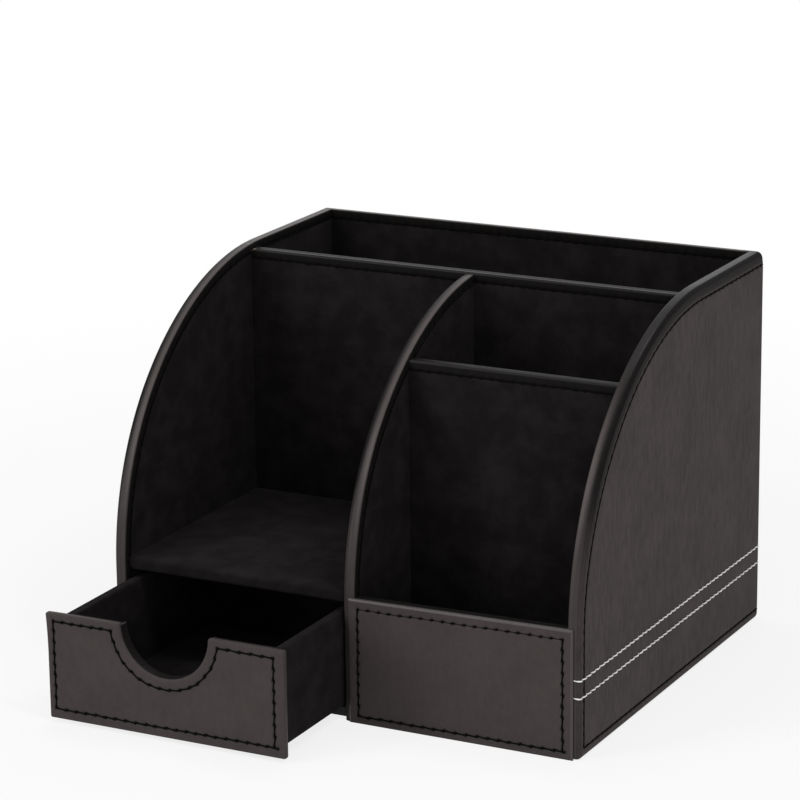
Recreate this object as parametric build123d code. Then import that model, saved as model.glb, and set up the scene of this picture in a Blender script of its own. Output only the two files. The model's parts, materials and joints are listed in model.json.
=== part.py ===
"""Leather-covered desk organizer: note tray, phone pocket, pen pocket, tablet slot and a drawer.

Millimetres. X runs to the right, Y to the back and Z up. The origin is on the underside, at the
middle of the cabinet's footprint. The drawer stands partly open.
"""
import os
from math import radians, sin

from build123d import *

# --- cabinet, outside
overall_width = 170.0
overall_depth = 152.0
overall_height = 132.5
curve_start_height = 40.0       # the sides' front edge is straight up to here
curve_run = 97.0                # from the front edge back to where the top runs level
corner_radius = 1.2             # lower front corner of the sides

# --- materials
board_thickness = 3.0
leather_thickness = 0.7
suede_thickness = 0.6
felt_thickness = 0.8

# --- folded leather edging round the panels
edging_reach = 3.2              # how far it comes in over each face
edging_leather = 0.9            # what lies over the board's edge
edging_radius = 1.0             # rolled corner
single_fold = 0.85              # rounding of a single leather's edge, in its thicknesses

# --- inner walls, places measured from the sides' front edge
divider_centre = 3.3            # right of the middle of the cabinet
slot_wall_setback = 88.8
slot_wall_drop = 2.0            # its top is this far below the sides' top
phone_rest_setback = 40.0
phone_rest_drop = 20.5          # and the phone rest's top this far
shelf_setback = 2.0
shelf_height = 43.7             # top of the shelf
shelf_nose_radius = 1.2
base_setback = 1.5              # in the drawer bay
felt_margin = 2.0

# --- front panel of the phone pocket
front_panel_height = 43.0
front_leather_thickness = 0.9
front_leather_lap = 2.1         # over the edges of the divider and the right side
front_leather_corner = 0.4

# --- drawer
drawer_open = 39.7              # how far it stands out
drawer_front_gap = 0.3          # to the cabinet when it is shut
drawer_front_bottom = 1.4
drawer_front_top = 37.5
drawer_front_side_gap = 0.8     # to the front panel's leather
drawer_front_board = 1.4
drawer_front_leather = 0.6      # on its face and round its edges
drawer_front_corner = 0.5
drawer_core = 2.5               # board inside a wall
drawer_suede = 0.5
drawer_bottom_board = 2.0
drawer_top_drop = 0.7           # walls below the top of the front
drawer_side_gap = 0.7
drawer_floor_gap = 0.4
drawer_back_gap = 1.0
drawer_wall_radius = 0.8
notch_radius = 16.2
notch_leather = 0.7

# --- worked out from the sizes above
half_width = overall_width / 2
front_y = -overall_depth / 2
back_y = overall_depth / 2
side_thickness = leather_thickness + board_thickness + suede_thickness
wall_thickness = board_thickness + 2 * suede_thickness
inner_x = half_width - side_thickness
side_back_y = back_y - leather_thickness
divider_left = divider_centre - wall_thickness / 2
divider_right = divider_centre + wall_thickness / 2
slot_wall_y = front_y + slot_wall_setback
slot_wall_top = overall_height - slot_wall_drop
phone_rest_y = front_y + phone_rest_setback
phone_rest_top = overall_height - phone_rest_drop
base_top = felt_thickness + board_thickness
floor_top = base_top + suede_thickness
back_wall_y = side_back_y - board_thickness - suede_thickness
pocket_front_y = front_y + board_thickness + suede_thickness

front_leather_y = front_y - front_leather_thickness
front_leather_left = divider_right - front_leather_lap

drawer_wall = drawer_core + 2 * drawer_suede
drawer_back_of_front = front_y - drawer_front_gap - drawer_open
drawer_face_y = drawer_back_of_front - drawer_front_board - drawer_front_leather
drawer_front_left = -half_width
drawer_front_right = front_leather_left - drawer_front_side_gap
drawer_left = -inner_x + drawer_side_gap
drawer_right = divider_left - drawer_side_gap
drawer_length = slot_wall_y - drawer_back_gap - (front_y - drawer_front_gap)
drawer_back = drawer_back_of_front + drawer_length
drawer_bottom = floor_top + drawer_floor_gap
drawer_top = drawer_front_top - drawer_top_drop
drawer_inner_floor = drawer_bottom + drawer_bottom_board
notch_x = (drawer_front_left + drawer_front_right) / 2

beyond = 1.0                    # how far a cutting tool passes the piece it cuts

parts = {}


def slab(x0, x1, y0, y1, z0, z1):
    """A box between two corners."""
    centre = Pos((x0 + x1) / 2, (y0 + y1) / 2, (z0 + z1) / 2)
    return centre * Box(x1 - x0, y1 - y0, z1 - z0)


def curve_radii(run, rise):
    """Two arcs that meet at 45 degrees and turn from straight up to level over run and rise."""
    bend = sin(radians(45))
    front_radius = (bend * rise - (1 - bend) * run) / (2 * bend - 1)
    crown_radius = (bend * run - (1 - bend) * rise) / (2 * bend - 1)
    return front_radius, crown_radius


def panel_outline(inset, top, rounded=False):
    """Side view of a curved panel, drawn in by inset everywhere except at the back."""
    front = front_y + inset
    crown_y = front_y + curve_run
    front_radius, crown_radius = curve_radii(curve_run, top - curve_start_height)
    front_centre = (front_y + front_radius, curve_start_height)
    crown_centre = (crown_y, top - crown_radius)
    corner = corner_radius if rounded else 0
    lines = [
        CenterArc(crown_centre, crown_radius - inset, 90, 45),
        CenterArc(front_centre, front_radius - inset, 135, 45),
        Line((front, curve_start_height), (front, inset + corner)),
        Line((front + corner, inset), (side_back_y, inset)),
        Line((side_back_y, inset), (side_back_y, top - inset)),
        Line((side_back_y, top - inset), (crown_y, top - inset)),
    ]
    if rounded:
        lines.append(RadiusArc((front + corner, inset), (front, inset + corner), corner))
    return make_face(Curve() + lines)


def panel_solid(inset, top, x0, x1, rounded=False):
    """The outline as a plate between x0 and x1."""
    face = Plane.YZ * panel_outline(inset, top, rounded)
    return Pos(x0, 0, 0) * extrude(face, x1 - x0)


def rolled_panel(top, x0, x1):
    """The full outline with its free edges rolled over, square only at the back."""
    plate = panel_solid(0, top, x0, x1, rounded=True)
    rims = [e for e in plate.edges()
            if abs(e.bounding_box().size.X) < 0.01 and e.center().Y < side_back_y - 0.01]
    return fillet(rims, edging_radius)


def right_side():
    """Board with leather outside, suede inside and a folded edging all round but the back."""
    leather_x = half_width - leather_thickness
    suede_x = inner_x + suede_thickness
    board = panel_solid(edging_leather, overall_height, suede_x, leather_x)
    field = panel_solid(edging_reach, overall_height, inner_x, half_width)
    return {
        "board": board,
        "leather": panel_solid(edging_reach, overall_height, leather_x, half_width),
        "suede": panel_solid(edging_reach, overall_height, inner_x, suede_x),
        "edging": rolled_panel(overall_height, inner_x, half_width) - field - board,
    }


def add_sides():
    for name, solid in right_side().items():
        parts[f"right_side_{name}"] = solid
        parts[f"left_side_{name}"] = mirror(solid, about=Plane.YZ)


def add_divider():
    """Same curve as the sides, standing on the base and ending at the slot wall."""
    room = slab(divider_left - beyond, divider_right + beyond, front_y - beyond, slot_wall_y,
                0, overall_height + beyond)
    under = slab(divider_left - beyond, divider_right + beyond, front_y + edging_reach, slot_wall_y,
                 0, base_top)
    above = slab(divider_left - beyond, divider_right + beyond, front_y - beyond, slot_wall_y,
                 base_top, overall_height + beyond)
    board_left = divider_left + suede_thickness
    board_right = divider_right - suede_thickness
    board = panel_solid(edging_leather, slot_wall_top, board_left, board_right) & above
    field = panel_solid(edging_reach, slot_wall_top, divider_left, divider_right)
    left = panel_solid(edging_reach, slot_wall_top, divider_left, board_left) & above
    right = panel_solid(edging_reach, slot_wall_top, board_right, divider_right) & above
    rolled = rolled_panel(slot_wall_top, divider_left, divider_right)
    parts["divider_board"] = board
    parts["divider_tray_suede"] = left
    parts["divider_pocket_suede"] = right
    parts["divider_edging"] = (rolled & room) - under - field - board


def top_edging(x0, x1, y0, y1, top):
    """Folded leather over the top of a straight wall, before the board is cut out of it."""
    strip = slab(x0, x1, y0, y1, top - edging_reach, top)
    rims = strip.edges().filter_by(Axis.X).group_by(Axis.Z)[-1]
    return fillet(rims, edging_radius)


def add_straight_wall(name, x0, x1, y0, top):
    """Upright wall across a bay: board, suede on both faces, edging on the top."""
    board_y = y0 + suede_thickness
    rear_y = board_y + board_thickness
    y1 = rear_y + suede_thickness
    board = slab(x0, x1, board_y, rear_y, base_top, top - edging_leather)
    parts[f"{name}_board"] = board
    parts[f"{name}_front_suede"] = slab(x0, x1, y0, board_y, base_top, top - edging_reach)
    parts[f"{name}_rear_suede"] = slab(x0, x1, rear_y, y1, base_top, top - edging_reach)
    parts[f"{name}_edging"] = top_edging(x0, x1, y0, y1, top) - board


def add_back():
    """Back wall. Its leather and its edging also cover the back ends of the sides."""
    board_y = side_back_y - board_thickness
    board = slab(-inner_x, inner_x, board_y, side_back_y, base_top, overall_height - edging_leather)
    fold = top_edging(-inner_x, inner_x, back_wall_y, back_y, overall_height)
    ends = slab(-half_width, half_width, side_back_y, back_y,
                overall_height - edging_reach, overall_height)
    ends = fillet(ends.edges().filter_by(Axis.X).group_by(Axis.Y)[-1].sort_by(Axis.Z)[-1],
                  leather_thickness * single_fold)
    skin = slab(-half_width, half_width, side_back_y, back_y, 0, overall_height - edging_reach)
    parts["back_board"] = board
    parts["back_suede"] = slab(-inner_x, inner_x, back_wall_y, board_y,
                               base_top, overall_height - edging_reach)
    parts["back_leather"] = skin
    rear_strip = slab(-inner_x, inner_x, side_back_y, back_y + beyond,
                      overall_height - edging_reach, overall_height + beyond)
    parts["back_edging"] = (fold - board - rear_strip) + ends


def add_base():
    """Board between the sides, felt under it and suede floors in the four spaces."""
    board = slab(-inner_x, inner_x, front_y, side_back_y, felt_thickness, base_top)
    drawer_mouth = slab(-inner_x, divider_left, front_y - beyond, front_y + base_setback,
                        0, base_top + beyond)
    divider_foot = slab(divider_left, divider_right, front_y - beyond, front_y + edging_reach,
                        0, base_top + beyond)
    parts["base_board"] = board - drawer_mouth - divider_foot
    parts["base_felt"] = slab(-inner_x + felt_margin, inner_x - felt_margin,
                              front_y + edging_reach + felt_margin, side_back_y - felt_margin,
                              0, felt_thickness)
    rest_back = phone_rest_y + wall_thickness
    slot_front = slot_wall_y + wall_thickness
    floors = {
        "drawer_bay": (-inner_x, divider_left, front_y + base_setback, slot_wall_y),
        "phone_pocket": (divider_right, inner_x, pocket_front_y, phone_rest_y),
        "pen_pocket": (divider_right, inner_x, rest_back, slot_wall_y),
        "tablet_slot": (-inner_x, inner_x, slot_front, back_wall_y),
    }
    for name, (x0, x1, y0, y1) in floors.items():
        parts[f"{name}_floor"] = slab(x0, x1, y0, y1, base_top, floor_top)


def add_shelf():
    """Shelf over the drawer bay, its suede wrapped round the front edge."""
    y0 = front_y + shelf_setback
    z0 = shelf_height - wall_thickness
    board = slab(-inner_x, divider_left, y0 + suede_thickness, slot_wall_y,
                 z0 + suede_thickness, shelf_height - suede_thickness)
    wrap = slab(-inner_x, divider_left, y0, slot_wall_y, z0, shelf_height)
    nose = wrap.edges().filter_by(Axis.X).group_by(Axis.Y)[0]
    parts["shelf_board"] = board
    parts["shelf_suede"] = fillet(nose, shelf_nose_radius) - board


def add_front_panel():
    """Low front of the phone pocket. One piece of leather laps both neighbours and folds inside."""
    board_y = front_y + board_thickness
    board = slab(divider_right, inner_x, front_y, board_y, base_top,
                 front_panel_height - edging_leather)
    face = slab(front_leather_left, inner_x + front_leather_lap, front_leather_y, front_y,
                0, front_panel_height)
    face = fillet(face.edges().filter_by(Axis.Z).group_by(Axis.Y)[0], front_leather_corner)
    fold = slab(divider_right, inner_x, front_y, pocket_front_y,
                front_panel_height - edging_reach, front_panel_height)
    fold = fillet(fold.edges().filter_by(Axis.X).group_by(Axis.Z)[-1].sort_by(Axis.Y)[-1],
                  edging_radius)
    leather = face + (fold - board)
    nose = leather.edges().filter_by(Axis.X).group_by(Axis.Y)[0].sort_by(Axis.Z)[-1]
    parts["front_panel_board"] = board
    parts["front_panel_leather"] = fillet(nose, front_leather_thickness * single_fold)
    parts["front_panel_suede"] = slab(divider_right, inner_x, board_y, pocket_front_y,
                                      base_top, front_panel_height - edging_reach)


def notch_tool(radius):
    """Half-round thumb notch, right through the front of the drawer."""
    length = drawer_wall + drawer_front_board + drawer_front_leather + 2 * beyond
    middle = drawer_face_y - beyond + length / 2
    return Pos(notch_x, middle, drawer_front_top) * Rot(90, 0, 0) * Cylinder(radius, length)


def add_drawer_front():
    """Thin board in a leather cover, with the notch cut from its top edge."""
    board_y = drawer_back_of_front - drawer_front_board
    cut = notch_tool(notch_radius + notch_leather)
    fold = drawer_front_leather
    board = slab(drawer_front_left + fold, drawer_front_right - fold, board_y, drawer_back_of_front,
                 drawer_front_bottom + fold, drawer_front_top - fold)
    cover = slab(drawer_front_left, drawer_front_right, drawer_face_y, drawer_back_of_front,
                 drawer_front_bottom, drawer_front_top)
    rims = cover.edges().group_by(Axis.Y)[0]
    cover = fillet(rims, drawer_front_corner)
    parts["drawer_front_board"] = board - cut
    parts["drawer_front_leather"] = cover - board - cut


def add_notch_edging():
    """Leather strip folded through the notch, from the face to the inside of the box."""
    y1 = drawer_back_of_front + drawer_core + drawer_suede
    ring = notch_tool(notch_radius + notch_leather) - notch_tool(notch_radius)
    reach = notch_radius + notch_leather + beyond
    front_part = slab(notch_x - reach, notch_x + reach, drawer_face_y, drawer_back_of_front,
                      drawer_front_top - reach, drawer_front_top)
    rear_part = slab(notch_x - reach, notch_x + reach, drawer_back_of_front, y1,
                     drawer_front_top - reach, drawer_top)
    parts["drawer_notch_edging"] = ring & (front_part + rear_part)


def add_drawer_box():
    """Four board walls round a board bottom, the walls covered in suede on both faces and on top."""
    cover = drawer_suede
    core = drawer_core
    x0, x1 = drawer_left + cover, drawer_right - cover
    y0, y1 = drawer_back_of_front, drawer_back - cover
    z1 = drawer_top - cover
    cut = notch_tool(notch_radius + notch_leather)
    walls = {
        "left": slab(x0, x0 + core, y0, y1, drawer_bottom, z1),
        "right": slab(x1 - core, x1, y0, y1, drawer_bottom, z1),
        "back": slab(x0 + core, x1 - core, y1 - core, y1, drawer_bottom, z1),
        "front": slab(x0 + core, x1 - core, y0, y0 + core, drawer_bottom, z1) - cut,
    }
    bottom = slab(x0 + core, x1 - core, y0 + core, y1 - core, drawer_bottom, drawer_inner_floor)
    inner_x0, inner_x1 = x0 + core + cover, x1 - core - cover
    inner_y0, inner_y1 = y0 + core + cover, y1 - core - cover
    cavity = slab(inner_x0, inner_x1, inner_y0, inner_y1, drawer_inner_floor, drawer_top + beyond)
    block = slab(drawer_left, drawer_right, y0, drawer_back, drawer_bottom, drawer_top)
    wrap = block - cavity
    rims = [e for e in wrap.edges().group_by(Axis.Z)[-1] if e.center().Y > y0 + drawer_wall / 2]
    wrap = fillet(rims, drawer_wall_radius)
    for name, wall in walls.items():
        parts[f"drawer_{name}_wall"] = wall
        wrap = wrap - wall
    parts["drawer_bottom_board"] = bottom
    parts["drawer_wall_suede"] = wrap - bottom - cut
    parts["drawer_floor_suede"] = slab(inner_x0, inner_x1, inner_y0, inner_y1,
                                       drawer_inner_floor, drawer_inner_floor + drawer_suede)


def build_all():
    add_sides()
    add_divider()
    add_straight_wall("slot_wall", -inner_x, inner_x, slot_wall_y, slot_wall_top)
    add_straight_wall("phone_rest", divider_right, inner_x, phone_rest_y, phone_rest_top)
    add_back()
    add_base()
    add_shelf()
    add_front_panel()
    add_drawer_front()
    add_notch_edging()
    add_drawer_box()


build_all()
os.makedirs("parts", exist_ok=True)
for node, solid in parts.items():
    export_step(solid, f"parts/{node}.step")
print(f"{len(parts)} pieces written")
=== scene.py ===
import bisect
import json
import math
import random
from collections import namedtuple

import bmesh
import bpy
from mathutils import Matrix, Vector, kdtree


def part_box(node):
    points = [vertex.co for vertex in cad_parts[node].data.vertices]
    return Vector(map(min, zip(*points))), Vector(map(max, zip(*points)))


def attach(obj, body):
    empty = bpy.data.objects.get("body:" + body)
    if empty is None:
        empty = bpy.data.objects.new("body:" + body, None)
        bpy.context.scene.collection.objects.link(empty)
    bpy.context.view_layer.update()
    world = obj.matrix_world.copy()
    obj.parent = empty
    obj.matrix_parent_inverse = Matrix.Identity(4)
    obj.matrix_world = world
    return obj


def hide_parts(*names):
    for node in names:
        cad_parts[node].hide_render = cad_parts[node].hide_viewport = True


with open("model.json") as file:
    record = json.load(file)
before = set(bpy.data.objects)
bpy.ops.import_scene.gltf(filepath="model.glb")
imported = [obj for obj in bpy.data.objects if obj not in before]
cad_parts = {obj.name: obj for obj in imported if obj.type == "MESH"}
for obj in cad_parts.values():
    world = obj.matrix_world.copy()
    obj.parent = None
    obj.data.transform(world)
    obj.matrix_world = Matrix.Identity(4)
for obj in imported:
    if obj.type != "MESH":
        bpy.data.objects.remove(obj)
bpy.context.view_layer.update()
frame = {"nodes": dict(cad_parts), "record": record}        # bodies, nodes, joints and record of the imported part
print("frame loaded:", len(frame["nodes"]), "nodes")

mm = 0.001               # sizes below are in millimetres
Block = namedtuple("Block", "x0 y0 z0 x1 y1 z1")


def blockOf(node):
    low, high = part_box(node)
    return Block(*(round(value / mm, 3) for value in (*low, *high)))


rightSide = blockOf("right_side_edging")
half = rightSide.x1
front = rightSide.y0
back = blockOf("back_leather").y1
top = rightSide.z1
sideThick = rightSide.x1 - rightSide.x0
skin = rightSide.x1 - blockOf("right_side_board").x1      # leather over the board

outline = {              # side view of the curved panels
    "startHeight": 40.0,
    "run": 97.0,
    "footRadius": 1.2,
    "backRadius": 1.0,   # plan corner where the cover turns onto the back
    "rearRound": (2.4, 5.0),                 # top rear corner seen from the side, in and down
    "footRound": (1.5, 2.2),                 # bottom rear corner, in and up
    "rearPower": 1.4,    # how full these two are; 1 would be a chamfer
}
fold = {                 # leather folded over a panel's edge
    "reach": 3.3,
    "topReach": 1.55,    # the cover's fold is this much wider along the top
    "widens": (45.0, 105.0),                 # heights between which it widens
    "lightPainted": (55.0, 90.0),                  # heights between which the lighter foot, painted light, fades out
    "seamHighlight": (1.0, 1.0, 0.95, 0.85, 0.3, 0.08),     # painted highlight share of the columns at the seam, on the ridge that catches light
    "footLight": (0.85, 0.5),                 # and the painted lighter share near the foot, on the band and on the crown
    "bulge": 1.35,       # how far the round edge of a curved panel stands out
    "crownShare": 0.46,  # share of the thickness that its outer rounding takes
    "cornerRadius": 0.45,                    # its crisp inner corner
    "crownHighlight": 1.25,   # the crown's painted highlight share, largest on one column of the section
    "crownColumn": 16,
    "crownSpread": 4,    # and gone this many columns away
    "crownFades": (90.0, 125.0),             # heights between which the crown's painted highlight fades on the right side
    "roll": 0.7,         # the two rolls of a straight wall's edge
    "dip": 0.28,         # hollow between them
    "seamDepth": 0.52,
    "seamWidth": 0.8,
    "ridgeWidth": 1.5,   # lighter ridge beside the seam
    "edgeLeather": 0.9,
    "step": 0.47,        # spacing of the mesh along an edge
}
creaseAngle = 38         # degrees; a sharper edge isn't smoothed
white = (1, 1, 1, 1)


class Link:
    # a socket that takes part in sums, each of which adds a Math node
    def __init__(self, paint, socket):
        self.paint = paint
        self.socket = socket

    def sum(self, operation, first, second):
        return self.paint.node("Math", {"operation": operation}, {0: first, 1: second})

    def __add__(self, other):
        return self.sum("ADD", self, other)

    def __radd__(self, other):
        return self.sum("ADD", other, self)

    def __sub__(self, other):
        return self.sum("SUBTRACT", self, other)

    def __rsub__(self, other):
        return self.sum("SUBTRACT", other, self)

    def __mul__(self, other):
        return self.sum("MULTIPLY", self, other)

    def __rmul__(self, other):
        return self.sum("MULTIPLY", other, self)


class Paint:
    # the nodes of one material or of the world
    def __init__(self, owner):
        self.owner = owner
        owner.use_nodes = True
        self.tree = owner.node_tree
        self.tree.nodes.clear()

    def node(self, kind, settings=None, values=None, out=0):
        made = self.tree.nodes.new("ShaderNode" + kind)
        for key, value in (settings or {}).items():
            setattr(made, key, value)
        for key, value in (values or {}).items():
            if isinstance(value, Link):
                self.tree.links.new(value.socket, made.inputs[key])
            else:
                made.inputs[key].default_value = value
        return Link(self, made.outputs[out]) if made.outputs else None

    def place(self):
        return self.node("TexCoord", out="Object")

    def stretched(self, place, scale):
        return self.node("VectorMath", {"operation": "MULTIPLY"}, {0: place, 1: scale})

    def noise(self, place, scale, detail=2.0, roughness=0.5):
        return self.node("TexNoise", {}, {"Vector": place, "Scale": scale, "Detail": detail,
                                          "Roughness": roughness})

    def cells(self, place, scale):
        return self.node("TexVoronoi", {"feature": "SMOOTH_F1"}, {"Vector": place, "Scale": scale})

    def between(self, value, low, high):
        # 0 at low, 1 at high, smooth in between
        return self.node("MapRange", {"interpolation_type": "SMOOTHSTEP"},
                         {"Value": value, "From Min": low, "From Max": high})

    def mix(self, factor, first, second):
        return self.node("Mix", {"data_type": "RGBA"}, {0: factor, 6: first, 7: second}, out=2)

    def bump(self, height, distance):
        return self.node("Bump", {}, {"Strength": 1.0, "Distance": distance, "Height": height})

    def surface(self, values):
        shader = self.node("BsdfPrincipled", {}, values)
        self.node("OutputMaterial", {}, {"Surface": shader})
        return self.owner

    def seenDirectly(self):
        # 1 for what the camera sees, also through glass or in a reflection
        rays = [self.node("LightPath", out=f"Is {kind} Ray")
                for kind in ("Camera", "Glossy", "Transmission")]
        return self.node("Math", {"operation": "MINIMUM"}, {0: rays[0] + rays[1] + rays[2], 1: 1.0})


def shade(colour, amount=1.0):
    return (*(part * amount for part in colour), 1.0)


def wornSpots(paint, place, look):
    # where corners rub, the coating breaks up into small pale specks
    mask = 0.0
    flake = paint.between(paint.noise(place, look["flakeScale"], 3.0, 0.6), *look["flakes"])
    for spot, reach in look["spots"]:
        centre = tuple(part * mm for part in spot)
        away = paint.node("VectorMath", {"operation": "DISTANCE"}, {0: place, 1: centre}, out=1)
        mask = paint.between(away, reach * mm, reach * 0.3 * mm) * flake + mask
    return mask


def leatherPaint(name, look):
    paint = Paint(bpy.data.materials.new(name))
    place = paint.place()
    broad = paint.noise(place, look["patchScale"], 3.0)
    streak = paint.noise(paint.stretched(place, look["streakScale"]), 1.0, 3.0, 0.6)
    grain = paint.cells(place, look["grainScale"])
    fine = paint.noise(place, look["grainScale"] * 2.3, 2.0)
    tone = broad * look["patch"] + streak * look["streak"] + fine * look["speckle"]
    tone = tone + (0.5 - 0.5 * (look["patch"] + look["streak"] + look["speckle"]))
    colour = paint.mix(tone, shade(look["colour"], 1 - look["contrast"]),
                       shade(look["colour"], 1 + look["contrast"]))
    if look.get("paintedLightColour"):
        # painted light: lighter where the mesh's attribute says so, for highlights on the crown and the seam's
        # ridge and a lighter foot
        lightPainted = paint.mix(tone, shade(look["paintedLightColour"], 1 - look["contrast"]),
                           shade(look["paintedLightColour"], 1 + look["contrast"]))
        paintedLight = paint.node("Attribute", {"attribute_name": "paintedLight"}, out="Fac")
        colour = paint.mix(paintedLight, colour, lightPainted)
    if look.get("spots"):
        colour = paint.mix(wornSpots(paint, place, look), colour, shade(look["wornColour"]))
    height = grain * 0.6 + fine * 0.3 + streak * look["crease"]
    if look.get("wrinkle"):
        height = height + paint.noise(place, look["wrinkleScale"], 3.0, 0.55) * look["wrinkle"]
    return paint.surface({
        "Base Color": colour,
        "Roughness": streak * 0.16 + (look["roughness"] - 0.08),
        "Specular IOR Level": look["gloss"],
        "Normal": paint.bump(height, look["grainDepth"] * mm),
    })


def suedePaint(name, look):
    paint = Paint(bpy.data.materials.new(name))
    place = paint.place()
    broad = paint.noise(place, look["patchScale"], 4.0, 0.6)
    nap = paint.noise(place, look["napScale"], 3.0, 0.7)
    strokes = paint.noise(paint.stretched(place, look["strokeScale"]), 1.0, 3.0, 0.6)
    tone = paint.between(broad * 0.6 + nap * 0.2 + strokes * 0.2, *look["tones"])
    return paint.surface({
        "Base Color": paint.mix(tone, shade(look["dark"]), shade(look["light"])),
        "Roughness": 0.95,
        "Specular IOR Level": 0.05,
        "Sheen Weight": look["sheen"],
        "Sheen Roughness": 0.55,
        "Sheen Tint": shade(look["sheenTint"]),
        "Normal": paint.bump(nap * 0.8 + broad * 0.6, look["napDepth"] * mm),
    })


def threadPaint(name, look):
    paint = Paint(bpy.data.materials.new(name))
    place = paint.place()
    fibre = paint.noise(place, look["fibreScale"], 2.0)
    return paint.surface({
        "Base Color": paint.mix(fibre, shade(look["colour"], 0.75), shade(look["colour"], 1.15)),
        "Roughness": 0.8,
        "Specular IOR Level": 0.03,
        "Normal": paint.bump(fibre, look["fibreDepth"] * mm),
    })


def boardPaint(name, look):
    paint = Paint(bpy.data.materials.new(name))
    place = paint.place()
    pulp = paint.noise(place, look["pulpScale"], 4.0, 0.7)
    layers = paint.noise(paint.stretched(place, look["layerScale"]), 1.0, 2.0)
    return paint.surface({
        "Base Color": paint.mix(pulp * 0.6 + layers * 0.4, shade(look["colour"], 0.8),
                                shade(look["colour"], 1.2)),
        "Roughness": 0.9,
        "Normal": paint.bump(pulp, look["pulpDepth"] * mm),
    })


leatherLook = {
    "colour": (0.0550, 0.0458, 0.0448),
    "contrast": 0.55,
    "patchScale": 60.0,
    "patch": 0.30,
    "streakScale": (480.0, 480.0, 260.0),
    "streak": 0.30,
    "speckle": 0.35,
    "crease": 0.15,
    "grainScale": 1500.0,
    "grainDepth": 0.035,
    "roughness": 0.50,
    "gloss": 0.07,
}
brushedLook = {          # the sides are faintly brushed upright
    **leatherLook,
    "colour": (0.0500, 0.0415, 0.0402),
    "contrast": 0.42,
    "patch": 0.8,
    "streakScale": (640.0, 640.0, 190.0),
    "streak": 1.6,
    "crease": 0.25,
    "roughness": 0.56,
    "gloss": 0.045,
}
rolledLook = {           # the same leather drawn tight over an edge
    **leatherLook,
    "roughness": 0.34,
    "gloss": 0.34,
    "grainDepth": 0.02,
}
rimHighlightLook = {              # cut edge of the field where it dips into the seam, lighter as a painted highlight
    **brushedLook,
    "colour": (0.110, 0.088, 0.078),
}
# the lighter second colour that the mesh's attribute mixes in is painted light: highlights along the crown and the
# seam's ridge, and a lighter foot; the pale specks are real wear
edgingLook = {
    **leatherLook,
    "colour": (0.0120, 0.0106, 0.0103),
    "paintedLightColour": (0.082, 0.0700, 0.0675),
    "contrast": 0.40,
    "roughness": 0.30,
    "gloss": 0.085,
    "grainDepth": 0.03,
    "wrinkle": 2.2,
    "wrinkleScale": 420.0,
    "flakeScale": 900.0,
    "flakes": (0.56, 0.62),
    "wornColour": (0.20, 0.165, 0.135),
    "spots": (((-81.0, 13.2, 131.0), 4.5), ((-78.5, 72.0, 131.5), 3.5)),
}
returnAndShadeLook = {           # the dull, darker leather on the outer band of a fold and inside it; on a curved panel's outer rounding its darker colour is painted shade, and its lighter second colour is painted light
    **leatherLook,
    "colour": (0.0088, 0.0080, 0.0078),
    "paintedLightColour": (0.052, 0.0440, 0.0425),
    "contrast": 0.45,
    "streak": 0.8,
    "roughness": 0.55,
    "gloss": 0.025,
    "wrinkle": 1.6,
    "wrinkleScale": 420.0,
    "grainDepth": 0.02,
}
suedeLook = {
    "dark": (0.0082, 0.0070, 0.0073),
    "light": (0.0150, 0.0130, 0.0133),
    "patchScale": 120.0,
    "strokeScale": (60.0, 60.0, 170.0),
    "tones": (0.40, 0.64),
    "napScale": 1700.0,
    "napDepth": 0.10,
    "sheen": 0.03,
    "sheenTint": (0.30, 0.27, 0.26),
}
feltLook = {**suedeLook, "light": (0.02, 0.02, 0.02), "napScale": 900.0, "napDepth": 0.25}
boardLook = {
    "colour": (0.23, 0.21, 0.18),
    "pulpScale": 900.0,
    "pulpDepth": 0.06,
    "layerScale": (120.0, 120.0, 2400.0),
}
paperLook = {**boardLook, "colour": (0.0065, 0.0062, 0.0062)}
blackThreadLook = {"colour": (0.0030, 0.0029, 0.0030), "fibreScale": 6000.0, "fibreDepth": 0.05}
whiteThreadLook = {"colour": (0.93, 0.91, 0.89), "fibreScale": 5000.0, "fibreDepth": 0.05}

finishes = {             # material and the record's slot
    "leather": (leatherPaint("charcoal leatherette", leatherLook), "leather"),
    "brushed": (leatherPaint("brushed leatherette", brushedLook), "leather"),
    "rolled": (leatherPaint("rolled leatherette", rolledLook), "leather"),
    "rim": (leatherPaint("leatherette edge with painted highlight", rimHighlightLook), "leather"),
    "edging": (leatherPaint("black edging leather", edgingLook), "edging"),
    "return": (leatherPaint("black edging leather inside and painted shade", returnAndShadeLook), "edging"),
    "suede": (suedePaint("black suede lining", suedeLook), "suede"),
    "felt": (suedePaint("black base felt", feltLook), "felt"),
    "board": (boardPaint("greyboard", boardLook), "board"),
    "paper": (boardPaint("black board paper", paperLook), "board"),
    "blackThread": (threadPaint("black thread", blackThreadLook), None),
    "whiteThread": (threadPaint("white thread", whiteThreadLook), None),
}
print("materials made:", len(finishes))


def steps(start, end, size):
    # evenly spaced values from start to end, both included
    count = max(1, round(abs(end - start) / size))
    return [start + (end - start) * i / count for i in range(count + 1)]


def line(start, end, inward, size=fold["step"]):
    # stations on a straight edge; each gives its point at a distance in from the edge
    def at(share):
        u = start[0] + (end[0] - start[0]) * share
        v = start[1] + (end[1] - start[1]) * share
        return lambda d: (u + inward[0] * d, v + inward[1] * d)
    return [at(share) for share in steps(0, 1, size / math.dist(start, end))]


def arc(centre, radius, first, last, size=fold["step"]):
    # the same on an arc whose inside is towards its centre; angles in degrees
    def at(angle):
        return lambda d: (centre[0] + (radius - d) * math.cos(angle),
                          centre[1] + (radius - d) * math.sin(angle))
    length = abs(math.radians(last - first)) * radius
    return [at(math.radians(first + (last - first) * share))
            for share in steps(0, 1, size / length)]


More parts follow.
